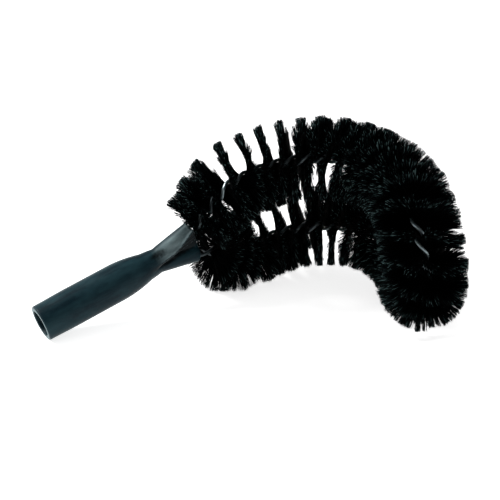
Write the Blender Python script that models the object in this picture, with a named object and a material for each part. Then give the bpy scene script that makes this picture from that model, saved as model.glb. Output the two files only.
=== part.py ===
"""A pipe brush that lies on its side.

A hairpin of twisted wire is bent into a C and carries a winding fin of bristles along its whole
length. Both ends of the hairpin are held in the forked bill of a hollow moulded handle, which a
pole is pushed into.

Lengths are in metres. The brush is worked out in a frame of its own: X runs along the handle
towards the bristles, the C bends in the XY plane, and the two legs of the hairpin lie above and
below that plane. The whole brush is then laid on the ground as it comes to rest.
"""

import math

import bmesh
import bpy
import numpy as np
from mathutils import Euler, Vector

# Handle, from the open mouth to the end of the bill
HANDLE_LENGTH = 0.166
MOUTH_RADIUS = 0.0176
BARREL_RADIUS = 0.0182
SWELL_LENGTH = 0.035
SHOULDER_START = 0.080
SHOULDER_END = 0.127
FORK_LENGTH = 0.052
LOBE_RADIUS = 0.0096
WEB_HALF_THICKNESS = 0.0030
BILL_BULGE = 0.0050
BILL_EDGE_ROUND = 0.0016
RIM_ROUND = 0.0018
LIP_CHAMFER = 0.0009
BORE_MOUTH_RADIUS = 0.0124
BORE_END_RADIUS = 0.0106
BORE_DEPTH = 0.075
SOCKET_DEPTH = 0.0130

# Course of the hairpin: straight, then two arcs of the C, then a half circle to the other leg
WIRE_ENDS_APART = 0.029
LEG_SPACING = 0.090
SPLAY_LENGTH = 0.060
STRAIGHT_LENGTH = 0.064
FIRST_BEND_RADIUS = 0.120
SECOND_BEND_RADIUS = 0.095
FIRST_BEND = math.radians(32.0)
SECOND_BEND = math.radians(83.0)

# Twisted wire: two strands that clamp a band of bristles between them
WIRE_RADIUS = 0.0018
BAND_THICKNESS = 0.0035
TWIST_PITCH = 0.03525
TWIST_START = math.radians(117.0)

# Bristles: each tuft is what is clamped along half a turn of the wire
BRISTLE_REACH = 0.0375
BRISTLE_START = 0.0050
CORE_HALF_WIDTH = 0.0013
TIP_HALF_THICKNESS = 0.0008
TIP_WIDTH_SHARE = 0.6
REST_CUT = 0.0005

# How the brush lies: the turns that bring its resting side down
LIE_PITCH = math.radians(-15.97)
LIE_ROLL = math.radians(11.65)

# Clearances between separate pieces
CORE_CLEARANCE = 0.0005
TUFT_GAP = 0.0003
SOCKET_CLEARANCE = 0.0003
LEG_CLEARANCE = 0.0010
CUT_OVERRUN = 0.010

# Shares that shape the end of the bill, and the edge angle past which shading breaks
CAP_SHARES = (0.35, 0.75)
BULGE_FADE_POWER = 4
WEB_BLEND_POWER = 4
EDGE_ANGLE = math.radians(40.0)

# Counts
SIDES_AROUND = 40
SOCKET_SIDES = 20
BORE_RINGS = 3
SWELL_RINGS = 4
BARREL_RINGS = 2
SHOULDER_RINGS = 12
FORK_RINGS = 9
EDGE_RINGS = 3
TWIST_POINTS = 10
STRANDS_PER_SIDE = 6
PATH_STEP = 0.0005


def smooth_step(share):
    """A share of 0 to 1, eased at both ends."""
    held = min(max(share, 0.0), 1.0)
    return held * held * (3.0 - 2.0 * held)


def blend(low, high, share):
    """The value that lies the given share of the way from low to high."""
    return low + (high - low) * share


def clear_scene():
    """Remove every object that the file holds."""
    for old in list(bpy.data.objects):
        bpy.data.objects.remove(old, do_unlink=True)


def make_material(name, colour, roughness, metallic):
    """A Principled material of one colour."""
    material = bpy.data.materials.new(name)
    material.use_nodes = True
    shader = material.node_tree.nodes["Principled BSDF"]
    shader.inputs["Base Color"].default_value = (*colour, 1.0)
    shader.inputs["Roughness"].default_value = roughness
    shader.inputs["Metallic"].default_value = metallic
    material.diffuse_color = (*colour, 1.0)
    return material


def add_object(name, data, material, parent):
    """Link a new object that holds the data, carries the material and hangs on the parent."""
    made = bpy.data.objects.new(name, data)
    bpy.context.scene.collection.objects.link(made)
    if material is not None:
        data.materials.append(material)
    made.parent = parent
    return made


class Hairpin:
    """The centre line of the twisted wire, with a frame that doesn't turn about it."""

    def __init__(self):
        """Work out the line from the sizes of the hairpin."""
        self.exit_slope = WIRE_ENDS_APART / 2 / FORK_LENGTH
        lean = math.atan(2 * math.pi * twist_radius() / TWIST_PITCH)
        self.exit_mark = SOCKET_DEPTH - SOCKET_CLEARANCE - WIRE_RADIUS * math.sin(lean)
        leg = self._leg()
        corners = np.array(leg + self._turn(leg[-1]))
        mirrored = corners[-2::-1] * (1.0, 1.0, -1.0)
        corners = np.concatenate([corners, mirrored])
        steps = np.linalg.norm(np.diff(corners, axis=0), axis=1)
        marks = np.concatenate([[0.0], np.cumsum(steps)])
        count = int(round(marks[-1] / PATH_STEP))
        self.marks = np.linspace(0.0, marks[-1], count + 1)
        self.points = np.stack(
            [np.interp(self.marks, marks, corners[:, axis]) for axis in range(3)], axis=1
        )
        self.length = float(marks[-1])
        self.leg_length = float(marks[len(leg) - 1])
        self.tangents = self._tangents()
        self.normals = self._carried_normals()
        self.binormals = np.cross(self.tangents, self.normals)

    def _leg(self):
        """Points of the upper leg, from inside its socket to the end of the C."""
        first_end = STRAIGHT_LENGTH + FIRST_BEND * FIRST_BEND_RADIUS
        leg_end = first_end + SECOND_BEND * SECOND_BEND_RADIUS
        rise = math.hypot(1.0, self.exit_slope)
        socket_reach = self.exit_mark / rise
        points = [(-socket_reach, 0.0, WIRE_ENDS_APART / 2 - socket_reach * self.exit_slope)]
        count = int(leg_end / PATH_STEP)
        step = leg_end / count
        x = y = 0.0
        for index in range(count + 1):
            along = index * step
            points.append((x, y, self._half_gap(along)))
            heading = self._heading(along + step / 2, first_end)
            x += math.cos(heading) * step
            y += math.sin(heading) * step
        self.leg_heading = self._heading(leg_end, first_end)
        return points

    def _half_gap(self, along):
        """Height of the leg over the plane of the C: it leaves along its socket, then splays."""
        share = min(along / SPLAY_LENGTH, 1.0)
        carried = self.exit_slope * along * (1.0 - share) * (1.0 - share)
        return blend(WIRE_ENDS_APART, LEG_SPACING, smooth_step(share)) / 2 + carried

    def _heading(self, along, first_end):
        """Direction of the C in its plane at a distance along it, as an angle from X."""
        if along <= STRAIGHT_LENGTH:
            return 0.0
        if along <= first_end:
            return -(along - STRAIGHT_LENGTH) / FIRST_BEND_RADIUS
        return -FIRST_BEND - (along - first_end) / SECOND_BEND_RADIUS

    def _turn(self, end):
        """Points of the first half of the turn that joins the legs, from the end of a leg."""
        radius = LEG_SPACING / 2
        ahead = (math.cos(self.leg_heading), math.sin(self.leg_heading))
        count = int(radius * math.pi / 2 / PATH_STEP)
        points = []
        for index in range(1, count + 1):
            turned = index / count * math.pi / 2
            reach = radius * math.sin(turned)
            points.append(
                (end[0] + ahead[0] * reach, end[1] + ahead[1] * reach, radius * math.cos(turned))
            )
        return points

    def _tangents(self):
        """Unit directions along the line."""
        slopes = np.gradient(self.points, axis=0)
        return slopes / np.linalg.norm(slopes, axis=1)[:, None]

    def _carried_normals(self):
        """Unit vectors across the line, carried along it without turning about it."""
        carried = np.zeros_like(self.points)
        across = np.array((0.0, 0.0, 1.0))
        for index, tangent in enumerate(self.tangents):
            across = across - tangent * across.dot(tangent)
            across = across / np.linalg.norm(across)
            carried[index] = across
        return carried

    def frame_at(self, mark):
        """The point, the tangent and the two vectors across the line at a distance along it."""
        found = []
        for table in (self.points, self.tangents, self.normals, self.binormals):
            found.append(
                np.array([np.interp(mark, self.marks, table[:, axis]) for axis in range(3)])
            )
        return found

    def twist_at(self, mark):
        """Angle of the clamped band about the line: the wire is twisted to the left."""
        return TWIST_START - 2 * math.pi * (mark - self.exit_mark) / TWIST_PITCH

    def place(self, mark, outward, sideways, twist):
        """A point beside the line: outward along the band, and sideways across it."""
        point, _, normal, binormal = self.frame_at(mark)
        along_band = normal * math.cos(twist) + binormal * math.sin(twist)
        across_band = binormal * math.cos(twist) - normal * math.sin(twist)
        return point + along_band * outward + across_band * sideways


def barrel_radius(from_mouth):
    """Outer radius of the handle, or of each lobe of its bill, at a distance from its mouth."""
    if from_mouth <= SWELL_LENGTH:
        return blend(MOUTH_RADIUS, BARREL_RADIUS, smooth_step(from_mouth / SWELL_LENGTH))
    share = (from_mouth - SHOULDER_START) / (SHOULDER_END - SHOULDER_START)
    held = min(max(share, 0.0), 1.0)
    return blend(BARREL_RADIUS, LOBE_RADIUS, held * held)


def bill_section(from_mouth, inset):
    """Outline of the handle across its axis, drawn in from its full size by the inset.

    Past the start of the fork the round section parts into two round lobes, which lean away
    from each other and keep a web between them.
    """
    opened = max(1.0 - (HANDLE_LENGTH - from_mouth) / FORK_LENGTH, 0.0)
    lobe_centre = WIRE_ENDS_APART / 2 * opened
    radius = barrel_radius(from_mouth) - inset
    web = WEB_HALF_THICKNESS - inset
    outline = []
    for index in range(SIDES_AROUND):
        angle = 2 * math.pi * index / SIDES_AROUND
        across = (lobe_centre + radius) * math.sin(angle)
        beside = abs(across) - lobe_centre
        thickness = math.sqrt(max(radius * radius - beside * beside, 0.0))
        if beside < 0:
            blended = thickness**WEB_BLEND_POWER + web**WEB_BLEND_POWER
            thickness = blended ** (1 / WEB_BLEND_POWER)
        outline.append((math.copysign(thickness, math.cos(angle)), across))
    return outline


def bill_end(across):
    """How far the rounded end of the bill stands out past its corners."""
    half_width = WIRE_ENDS_APART / 2 + LOBE_RADIUS
    return BILL_BULGE * (1.0 - (across / half_width) ** 2)


def handle_rings():
    """Rings of points over the handle, from the end of the bill to the bottom of the bore."""
    rings = []
    outline = bill_section(HANDLE_LENGTH, BILL_EDGE_ROUND)
    for share in CAP_SHARES:
        rings.append([(bill_end(z * share), y * share, z * share) for y, z in outline])
    for index in range(EDGE_RINGS + 1):
        turned = math.pi / 2 * index / EDGE_RINGS
        inset = BILL_EDGE_ROUND * (1.0 - math.sin(turned))
        back = BILL_EDGE_ROUND * (1.0 - math.cos(turned))
        outline = bill_section(HANDLE_LENGTH, inset)
        rings.append([(bill_end(z) - back, y, z) for y, z in outline])
    for index in range(1, FORK_RINGS + 1):
        share = index / FORK_RINGS
        from_mouth = blend(HANDLE_LENGTH - BILL_EDGE_ROUND, SHOULDER_END, share)
        stand = (1.0 - share) ** BULGE_FADE_POWER
        outline = bill_section(from_mouth, 0.0)
        place = from_mouth - HANDLE_LENGTH
        rings.append([(place + bill_end(z) * stand, y, z) for y, z in outline])
    stations = []
    for index in range(1, SHOULDER_RINGS + 1):
        stations.append(blend(SHOULDER_END, SHOULDER_START, index / SHOULDER_RINGS))
    for index in range(1, BARREL_RINGS + 1):
        stations.append(blend(SHOULDER_START, SWELL_LENGTH, index / BARREL_RINGS))
    for index in range(1, SWELL_RINGS + 1):
        stations.append(blend(SWELL_LENGTH, RIM_ROUND, index / SWELL_RINGS))
    for from_mouth in stations:
        outline = bill_section(from_mouth, 0.0)
        rings.append([(from_mouth - HANDLE_LENGTH, y, z) for y, z in outline])
    return rings + bore_rings()


def ring_of(from_mouth, radius):
    """A round ring about the handle's axis."""
    ring = []
    for index in range(SIDES_AROUND):
        angle = 2 * math.pi * index / SIDES_AROUND
        ring.append(
            (from_mouth - HANDLE_LENGTH, radius * math.cos(angle), radius * math.sin(angle))
        )
    return ring


def bore_rings():
    """Rings round the lip of the mouth and down the tapered bore."""
    rings = []
    for index in range(1, EDGE_RINGS + 1):
        turned = math.pi / 2 * index / EDGE_RINGS
        radius = barrel_radius(RIM_ROUND) - RIM_ROUND * (1.0 - math.cos(turned))
        rings.append(ring_of(RIM_ROUND * (1.0 - math.sin(turned)), radius))
    rings.append(ring_of(0.0, BORE_MOUTH_RADIUS + LIP_CHAMFER))
    rings.append(ring_of(LIP_CHAMFER, BORE_MOUTH_RADIUS))
    for index in range(1, BORE_RINGS + 1):
        share = index / BORE_RINGS
        depth = blend(LIP_CHAMFER, BORE_DEPTH, share)
        rings.append(ring_of(depth, blend(BORE_MOUTH_RADIUS, BORE_END_RADIUS, share)))
    return rings


def loft(name, rings):
    """A closed mesh through the rings, with a fan of faces over the first and the last."""
    mesh = bpy.data.meshes.new(name)
    shape = bmesh.new()
    loops = [[shape.verts.new(point) for point in ring] for ring in rings]
    for near, far in zip(loops, loops[1:]):
        for index in range(len(near)):
            following = (index + 1) % len(near)
            shape.faces.new((near[index], near[following], far[following], far[index]))
    for loop in (loops[0], loops[-1]):
        middle = sum((vert.co for vert in loop), Vector()) / len(loop)
        if loop is loops[0]:
            middle.x = BILL_BULGE
        centre = shape.verts.new(middle)
        for index in range(len(loop)):
            shape.faces.new((loop[index], loop[(index + 1) % len(loop)], centre))
    bmesh.ops.recalc_face_normals(shape, faces=shape.faces)
    shape.to_mesh(mesh)
    shape.free()
    return mesh


def add_handle(hairpin, material, parent):
    """The moulded handle, with a socket in each lobe of the bill for an end of the wire."""
    mesh = loft("handle_socket", handle_rings())
    mesh.shade_smooth()
    mesh.set_sharp_from_angle(angle=EDGE_ANGLE)
    handle = add_object("handle_socket", mesh, material, parent)
    socket_radius = twist_radius() + WIRE_RADIUS + SOCKET_CLEARANCE
    for side, name in ((1.0, "socket_cutter_upper"), (-1.0, "socket_cutter_lower")):
        cutter_mesh = bpy.data.meshes.new(name)
        shape = bmesh.new()
        bmesh.ops.create_cone(
            shape,
            cap_ends=True,
            segments=SOCKET_SIDES,
            radius1=socket_radius,
            radius2=socket_radius,
            depth=SOCKET_DEPTH + CUT_OVERRUN,
        )
        shape.to_mesh(cutter_mesh)
        shape.free()
        cutter = add_object(name, cutter_mesh, None, parent)
        direction = Vector((1.0, 0.0, side * hairpin.exit_slope)).normalized()
        bill_point = Vector((0.0, 0.0, side * WIRE_ENDS_APART / 2))
        cutter.location = bill_point + direction * (CUT_OVERRUN - SOCKET_DEPTH) / 2
        cutter.rotation_mode = "QUATERNION"
        cutter.rotation_quaternion = direction.to_track_quat("Z", "Y")
        cutter.hide_render = True
        cutter.display_type = "WIRE"
        cut = handle.modifiers.new(name, "BOOLEAN")
        cut.operation = "DIFFERENCE"
        cut.solver = "EXACT"
        cut.object = cutter
    return handle


def twist_radius():
    """Distance from the centre line of the hairpin to the centre of either strand."""
    return WIRE_RADIUS + BAND_THICKNESS / 2


def wire_course(hairpin, side):
    """Points along the centre of one strand of the twisted wire."""
    turns = hairpin.length / TWIST_PITCH
    count = int(round(turns * TWIST_POINTS))
    course = []
    for index in range(count + 1):
        mark = hairpin.length * index / count
        course.append(hairpin.place(mark, 0.0, side * twist_radius(), hairpin.twist_at(mark)))
    return np.array(course)


def least_gap(first, second, skipped):
    """Least clear distance between two strands, or in one strand past its near points."""
    apart = np.linalg.norm(first[:, None, :] - second[None, :, :], axis=2)
    rows, columns = np.indices(apart.shape)
    apart[np.abs(rows - columns) < skipped] = np.inf
    return float(apart.min()) - 2 * WIRE_RADIUS


def add_wire(name, course, material, parent):
    """One strand of wire: a round tube along its course."""
    curve = bpy.data.curves.new(name, "CURVE")
    curve.dimensions = "3D"
    curve.bevel_depth = WIRE_RADIUS
    curve.bevel_resolution = 1
    curve.use_fill_caps = True
    line = curve.splines.new("POLY")
    line.points.add(len(course) - 1)
    for point, place in zip(line.points, course):
        point.co = (*place, 1.0)
    line.use_smooth = True
    return add_object(name, curve, material, parent)


def strand_reach(hairpin, mark, twist, side):
    """Length of a strand: full, or less where it would meet the strands of the other leg."""
    point, _, normal, binormal = hairpin.frame_at(mark)
    direction = side * (normal * math.cos(twist) + binormal * math.sin(twist))
    towards_middle = -direction[2] * math.copysign(1.0, point[2])
    room = abs(point[2]) - LEG_CLEARANCE
    on_turn = min(mark, hairpin.length - mark) > hairpin.leg_length
    if on_turn or towards_middle * BRISTLE_REACH <= room:
        return BRISTLE_REACH
    return room / towards_middle


def strand_corners(hairpin, start, end, side):
    """The four root corners and the four tip corners of the strand between two stations."""
    middle = (start + end) / 2
    twist = hairpin.twist_at(middle)
    reach = strand_reach(hairpin, middle, twist, side)
    half_step = (end - start) / 2 * TIP_WIDTH_SHARE
    half_thickness = core_half_thickness()
    root = []
    tip = []
    for mark, tip_mark in ((start, middle - half_step), (end, middle + half_step)):
        for across in (-1.0, 1.0):
            root.append(
                hairpin.place(
                    mark,
                    side * CORE_HALF_WIDTH,
                    across * half_thickness,
                    hairpin.twist_at(mark),
                )
            )
            tip.append(
                hairpin.place(tip_mark, side * reach, across * TIP_HALF_THICKNESS, twist)
            )
    return root, tip


def core_half_thickness():
    """Half the thickness of the core that a tuft's strands share, clear of both wires."""
    return BAND_THICKNESS / 2 - CORE_CLEARANCE


def tuft_stations(hairpin, index):
    """Distances along the hairpin at which a tuft's strands begin and end."""
    half_turn = TWIST_PITCH / 2
    start = hairpin.exit_mark + BRISTLE_START + index * half_turn
    length = half_turn - TUFT_GAP
    return [start + length * place / STRANDS_PER_SIDE for place in range(STRANDS_PER_SIDE + 1)]


def tuft_count(hairpin):
    """How many half turns fit between the two ends of the bristles."""
    covered = hairpin.length - 2 * (hairpin.exit_mark + BRISTLE_START)
    return int((covered + TUFT_GAP) / (TWIST_PITCH / 2))


def ground_line(hairpin, down):
    """How far down the ground lies: a little short of the lowest bristle tip."""
    lowest = -math.inf
    for index in range(tuft_count(hairpin)):
        stations = tuft_stations(hairpin, index)
        for start, end in zip(stations, stations[1:]):
            for side in (-1.0, 1.0):
                tips = strand_corners(hairpin, start, end, side)[1]
                lowest = max(lowest, max(float(tip.dot(down)) for tip in tips))
    return lowest - REST_CUT


def tuft_mesh(hairpin, name, stations, down, ground):
    """One tuft: a twisted core with a row of strands that stand out on both of its sides."""
    mesh = bpy.data.meshes.new(name)
    shape = bmesh.new()
    half_thickness = core_half_thickness()
    corners = []
    for mark in stations:
        ring = {}
        for side in (-1.0, 1.0):
            for across in (-1.0, 1.0):
                place = hairpin.place(
                    mark,
                    side * CORE_HALF_WIDTH,
                    across * half_thickness,
                    hairpin.twist_at(mark),
                )
                ring[side, across] = shape.verts.new(place)
        corners.append(ring)
    around = ((-1.0, -1.0), (1.0, -1.0), (1.0, 1.0), (-1.0, 1.0))
    shape.faces.new([corners[0][key] for key in around])
    shape.faces.new([corners[-1][key] for key in around])
    for near, far in zip(corners, corners[1:]):
        for across in (-1.0, 1.0):
            shape.faces.new(
                (near[-1.0, across], near[1.0, across], far[1.0, across], far[-1.0, across])
            )
    for place, (start, end) in enumerate(zip(stations, stations[1:])):
        near, far = corners[place], corners[place + 1]
        for side in (-1.0, 1.0):
            root, tip = strand_corners(hairpin, start, end, side)
            tip = [rest_on_ground(foot, head, down, ground) for foot, head in zip(root, tip)]
            low = (near[side, -1.0], near[side, 1.0], far[side, 1.0], far[side, -1.0])
            heads = [shape.verts.new(tip[order]) for order in (0, 1, 3, 2)]
            for corner in range(4):
                following = (corner + 1) % 4
                shape.faces.new((low[corner], low[following], heads[following], heads[corner]))
            shape.faces.new(heads)
    bmesh.ops.recalc_face_normals(shape, faces=shape.faces)
    shape.to_mesh(mesh)
    shape.free()
    return mesh


def rest_on_ground(foot, head, down, ground):
    """The head of a strand's edge, drawn back along the edge to the ground if it is below."""
    depth = float(head.dot(down))
    if depth <= ground:
        return head
    share = (ground - float(foot.dot(down))) / (depth - float(foot.dot(down)))
    return foot + (head - foot) * share


def world_corners(made):
    """Lowest and highest corners of the finished pieces."""
    bpy.context.view_layer.update()
    graph = bpy.context.evaluated_depsgraph_get()
    low = np.full(3, np.inf)
    high = np.full(3, -np.inf)
    for piece in made:
        shown = piece.evaluated_get(graph)
        mesh = shown.to_mesh()
        places = np.array([shown.matrix_world @ vert.co for vert in mesh.vertices])
        low = np.minimum(low, places.min(axis=0))
        high = np.maximum(high, places.max(axis=0))
        shown.to_mesh_clear()
    return low, high


def main():
    """Build the brush and lay it down with its resting side on the ground."""
    clear_scene()
    plastic = make_material("moulded_handle", (0.017, 0.038, 0.048), 0.55, 0.0)
    steel = make_material("galvanised_wire", (0.42, 0.44, 0.45), 0.38, 1.0)
    filament = make_material("black_bristle", (0.004, 0.006, 0.007), 0.50, 0.0)

    lie = bpy.data.objects.new("brush_lie", None)
    bpy.context.scene.collection.objects.link(lie)
    lie.rotation_euler = Euler((LIE_ROLL, LIE_PITCH, 0.0))
    down = np.array(lie.rotation_euler.to_matrix().inverted() @ Vector((0.0, 0.0, -1.0)))

    hairpin = Hairpin()
    made = [add_handle(hairpin, plastic, lie)]
    courses = [wire_course(hairpin, side) for side in (-1.0, 1.0)]
    for course, name in zip(courses, ("twisted_wire_a", "twisted_wire_b")):
        made.append(add_wire(name, course, steel, lie))
        print(f"{name}: least gap to itself {least_gap(course, course, TWIST_POINTS // 2):.4f} m")
    print(f"least gap between the strands {least_gap(*courses, 0):.4f} m")

    ground = ground_line(hairpin, down)
    for index in range(tuft_count(hairpin)):
        name = f"bristle_tuft_{index + 1:02d}"
        mesh = tuft_mesh(hairpin, name, tuft_stations(hairpin, index), down, ground)
        made.append(add_object(name, mesh, filament, lie))
    print(f"{tuft_count(hairpin)} tufts of {2 * STRANDS_PER_SIDE} strands")

    low, high = world_corners(made)
    lie.location = (-(low[0] + high[0]) / 2, -(low[1] + high[1]) / 2, -low[2])
    bpy.context.view_layer.update()


main()
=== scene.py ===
"""Dresses the pipe brush: its moulded handle, its twisted wire and its thousands of filaments.

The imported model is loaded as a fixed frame. Every piece here is worked out in the brush's own
frame, in metres: X runs along the handle from the end of its bill towards the bristles, the C
bends in the XY plane, and the two legs of the hairpin lie above and below that plane. Each
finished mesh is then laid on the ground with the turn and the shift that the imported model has.
"""

import logging
import math
from dataclasses import dataclass, field
from enum import Enum
from typing import NamedTuple

import bmesh
import bpy
import numpy as np
from mathutils import Euler, Matrix, Vector


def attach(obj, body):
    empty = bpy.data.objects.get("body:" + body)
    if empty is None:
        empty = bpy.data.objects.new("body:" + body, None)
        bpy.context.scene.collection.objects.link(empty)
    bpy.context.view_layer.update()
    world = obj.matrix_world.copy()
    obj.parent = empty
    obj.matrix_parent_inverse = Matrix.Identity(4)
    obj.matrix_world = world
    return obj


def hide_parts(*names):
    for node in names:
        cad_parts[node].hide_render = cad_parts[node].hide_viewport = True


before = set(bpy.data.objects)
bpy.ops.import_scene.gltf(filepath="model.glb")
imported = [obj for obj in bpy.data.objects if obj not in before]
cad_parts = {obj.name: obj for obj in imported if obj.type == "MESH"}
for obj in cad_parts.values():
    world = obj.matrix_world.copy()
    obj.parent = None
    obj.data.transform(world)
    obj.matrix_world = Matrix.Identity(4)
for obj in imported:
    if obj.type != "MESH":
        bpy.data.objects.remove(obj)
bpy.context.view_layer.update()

LOG = logging.getLogger("pipe_brush")
TINY = 1e-6

# Each filament is a thin tube with this many corners.
CORNERS = 3

Array = np.ndarray
Value = float | Array
Triple = tuple[float, float, float]
Colour = tuple[float, float, float, float]
Table = tuple[tuple[float, float], ...]
Socket = bpy.types.NodeSocket
Setting = float | tuple[float, ...] | Socket
Inputs = dict[str | int, Setting]


class Slot(Enum):
    """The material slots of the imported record."""

    HANDLE = "moulded_handle"
    WIRE = "galvanised_wire"
    BRISTLE = "black_bristle"


class Strand(Enum):
    """The two strands of the twisted wire, by the side of the band that each lies on."""

    FIRST = -1.0
    SECOND = 1.0


class Ramp(NamedTuple):
    """A range of values, and what its two ends are mapped to."""

    low: float
    high: float
    start: float = 0.0
    end: float = 1.0

    def moved(self, by: float) -> "Ramp":
        """Gives the ramp with its range moved along."""
        return self._replace(low=self.low + by, high=self.high + by)


class Grain(NamedTuple):
    """How fine a noise is, how many layers it has and how rough they are."""

    scale: float
    detail: float
    rough: float = 0.5


class Lean(NamedTuple):
    """How far filaments lean along the wire at a mark, away from the other leg and towards it."""

    mark: float
    outer: float
    inner: float


def smooth_step(share: float) -> float:
    """Eases a share of 0 to 1 at both ends."""
    held = min(max(share, 0.0), 1.0)
    return held * held * (3.0 - 2.0 * held)


def between(low: Value, high: Value, share: Value) -> Value:
    """Gives the value that lies the given share of the way from low to high."""
    return low + (high - low) * share


def read(table: Table, places: Array) -> Array:
    """Reads a table of places and values, also between its rows."""
    return np.interp(places, *zip(*table))


def unit(vectors: Array) -> Array:
    """Gives the vectors, one a row, at a length of 1."""
    return vectors / np.linalg.norm(vectors, axis=1)[:, None]


@dataclass(frozen=True)
class Lie:
    """How the brush lies on the ground: two turns and a shift from its own frame."""

    pitch: float = math.radians(-15.97)
    roll: float = math.radians(11.65)
    shift: Triple = (-0.02830, 0.08382, 0.06212)

    def matrix(self) -> Matrix:
        """Gives the matrix from the brush's frame to the ground's."""
        turn = Euler((self.roll, self.pitch, 0.0)).to_matrix().to_4x4()
        return Matrix.Translation(Vector(self.shift)) @ turn

    def laid(self, points: Array) -> Array:
        """Moves points, one a row, from the brush's frame to the ground's."""
        matrix = np.array(self.matrix())
        return points @ matrix[:3, :3].T + matrix[:3, 3]


@dataclass(frozen=True)
class BillRelief:
    """The crest of the bill's upper lobe, the scoop above it, the hollow below it and a dimple.

    A height on the bill is measured aslant: it is the share `across` of the distance across the
    handle and the share `up` of the distance up. The crest and the hollow's foot are lines along
    the handle, with their height at each station. The relief is pressed in on the near side only,
    and it fades out towards the core of the lobe.
    """

    across: float = 0.733
    up: float = 0.681
    crest: Table = (
        (-0.056, -0.0072),
        (-0.044, -0.0062),
        (-0.031, -0.0045),
        (-0.019, -0.0024),
        (-0.007, 0.0035),
        (0.002, 0.0080),
    )
    foot: Table = ((-0.056, -0.0078), (-0.032, -0.0092), (0.002, -0.0055))
    scoop: float = 0.0022
    scoop_edge: float = 0.0032
    scoop_top: float = 0.0035
    scoop_fade: float = 0.013
    scoop_start: float = -0.046
    scoop_run: float = 0.022
    hollow: float = 0.0026
    hollow_edge: float = 0.0028
    hollow_rise: float = 0.0035
    hollow_start: float = -0.054
    hollow_run: float = 0.020
    dimple: Triple = (-0.0385, -0.0060, 0.0122)
    dimple_stretch: float = 0.5
    dimple_reach: float = 0.0052
    dimple_depth: float = 0.0018
    side_edge: float = 0.0035
    core: float = 0.0062
    core_edge: float = 0.0020

    def depth(self, places: Array, reach: Array) -> Array:
        """Works out how deep the relief is pressed in.

        Args:
            places: Places on the handle in the brush's frame, one a row.
            reach: How far each lies from the core of the lobe or the barrel.

        Returns:
            The depth at each place.
        """
        eased = np.vectorize(smooth_step, otypes=[float])
        along, beside, up = places.T
        height = beside * self.across + up * self.up
        above = height - read(self.crest, along)
        below = height - read(self.foot, along)
        over = eased(above / self.scoop_edge)
        over = over * (1.0 - eased((above - self.scoop_top) / self.scoop_fade))
        under = eased(-above / self.hollow_edge) * eased(below / self.hollow_rise)
        depth = self.scoop * over * eased((along - self.scoop_start) / self.scoop_run)
        run_in = eased((along - self.hollow_start) / self.hollow_run)
        depth = depth + self.hollow * under * run_in
        gaps = (places - np.array(self.dimple)) * (self.dimple_stretch, 1.0, 1.0)
        dimple = 1.0 - eased(np.linalg.norm(gaps, axis=1) / self.dimple_reach)
        depth = depth + self.dimple_depth * dimple
        return depth * eased(-beside / self.side_edge) * eased((reach - self.core) / self.core_edge)


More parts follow.
